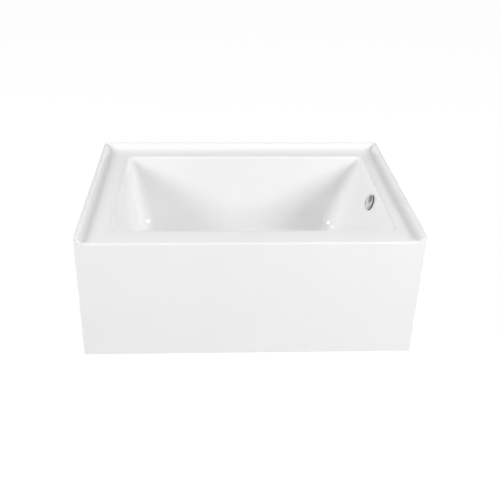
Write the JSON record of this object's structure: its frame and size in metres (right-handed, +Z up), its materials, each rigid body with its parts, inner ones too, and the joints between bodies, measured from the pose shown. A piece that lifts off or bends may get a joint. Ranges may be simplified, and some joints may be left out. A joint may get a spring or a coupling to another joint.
{
  "type": "alcove bathtub",
  "caption": "Alcove bathtub with a rectangular sloped basin, tile flange on the left, right and back, a plain front apron, overflow and drain at the right, and levelling feet.",
  "frame": {"origin": "on the floor, under the middle of the bounding box", "axes": "+X along the tub towards the drain end, -Y towards the apron, +Y towards the back wall, +Z up"},
  "size_m": [1.2192, 0.8128, 0.508],
  "materials": {
    "white_acrylic": "polished white acrylic",
    "fibreglass": "rough chopped-strand laminate",
    "board": "raw chipboard",
    "timber": "planed softwood",
    "galvanised_steel": "galvanised",
    "zinc_plate": "zinc plated",
    "chrome": "polished chrome",
    "brass": "turned brass",
    "rubber": "matt black rubber",
    "waste_plastic": "extruded white plastic",
    "nut_plastic": "moulded plastic",
    "foot_plastic": "moulded black plastic"
  },
  "bodies": {
    "tub": {"apron_board": "board", "apron_bracket_left": "galvanised_steel", "apron_bracket_right": "galvanised_steel", "apron_rail": "timber", "base_board": "board", "bracket_screws": "zinc_plate", "cross_rail_left": "galvanised_steel", "cross_rail_right": "galvanised_steel", "deck_batten_back": "timber", "deck_batten_front": "timber", "deck_batten_left": "timber", "deck_batten_right": "timber", "drain_flange": "chrome", "drain_gasket": "rubber", "drain_shoe": "waste_plastic", "elbow_nut": "nut_plastic", "fibreglass_backing": "fibreglass", "flange_seal": "rubber", "lock_nuts": "zinc_plate", "overflow_cover": "chrome", "overflow_elbow": "waste_plastic", "overflow_gasket": "rubber", "overflow_retainer": "chrome", "overflow_tube": "waste_plastic", "rail_screws": "zinc_plate", "shoe_nut": "nut_plastic", "shoe_tube": "waste_plastic", "slip_washers": "rubber", "stopper_post": "brass", "tailpiece": "waste_plastic", "tee_nut_high": "nut_plastic", "tee_nut_low": "nut_plastic", "tee_nut_side": "nut_plastic", "tub_shell": "white_acrylic", "waste_tee": "waste_plastic", "weld_nuts": "zinc_plate"},
    "foot_front_left": {"foot_front_left_pad": "foot_plastic"},
    "stud_front_left": {"foot_front_left_stud": "zinc_plate"},
    "foot_front_right": {"foot_front_right_pad": "foot_plastic"},
    "stud_front_right": {"foot_front_right_stud": "zinc_plate"},
    "foot_back_left": {"foot_back_left_pad": "foot_plastic"},
    "stud_back_left": {"foot_back_left_stud": "zinc_plate"},
    "foot_back_right": {"foot_back_right_pad": "foot_plastic"},
    "stud_back_right": {"foot_back_right_stud": "zinc_plate"},
    "stopper_slide": {"stopper_collar": "brass"},
    "stopper_plug": {"stopper_cap": "chrome", "stopper_seal": "rubber"}
  },
  "joints": [
    {"name": "foot_front_left_level", "type": "slide", "parent": "tub", "child": "foot_front_left", "axis": [0, 0, -1], "range_m": [-0.008, 0.01]},
    {"name": "foot_front_left_turn", "type": "hinge", "parent": "foot_front_left", "child": "stud_front_left", "pos_m": [-0.275, -0.255, 0.05], "axis": [0, 0, -1], "range_deg": [-1925, 2405]},
    {"name": "foot_front_right_level", "type": "slide", "parent": "tub", "child": "foot_front_right", "axis": [0, 0, -1], "range_m": [-0.008, 0.01]},
    {"name": "foot_front_right_turn", "type": "hinge", "parent": "foot_front_right", "child": "stud_front_right", "pos_m": [0.215, -0.255, 0.05], "axis": [0, 0, -1], "range_deg": [-1925, 2405]},
    {"name": "foot_back_left_level", "type": "slide", "parent": "tub", "child": "foot_back_left", "axis": [0, 0, -1], "range_m": [-0.008, 0.01]},
    {"name": "foot_back_left_turn", "type": "hinge", "parent": "foot_back_left", "child": "stud_back_left", "pos_m": [-0.275, 0.265, 0.05], "axis": [0, 0, -1], "range_deg": [-1925, 2405]},
    {"name": "foot_back_right_level", "type": "slide", "parent": "tub", "child": "foot_back_right", "axis": [0, 0, -1], "range_m": [-0.008, 0.01]},
    {"name": "foot_back_right_turn", "type": "hinge", "parent": "foot_back_right", "child": "stud_back_right", "pos_m": [0.215, 0.265, 0.05], "axis": [0, 0, -1], "range_deg": [-1925, 2405]},
    {"name": "stopper_lift", "type": "slide", "parent": "tub", "child": "stopper_slide", "axis": [0, 0, 1], "range_m": [0, 0.009]},
    {"name": "stopper_turn", "type": "hinge", "parent": "stopper_slide", "child": "stopper_plug", "pos_m": [0.3156, -0.0035, 0.14], "axis": [0, 0, 1], "range_deg": [0, 90]}
  ],
  "couplings": [
    {"joint": "foot_front_left_turn", "follows": "foot_front_left_level", "rad_per_m": 4188.8},
    {"joint": "foot_front_right_turn", "follows": "foot_front_right_level", "rad_per_m": 4188.8},
    {"joint": "foot_back_left_turn", "follows": "foot_back_left_level", "rad_per_m": 4188.8},
    {"joint": "foot_back_right_turn", "follows": "foot_back_right_level", "rad_per_m": 4188.8}
  ]
}
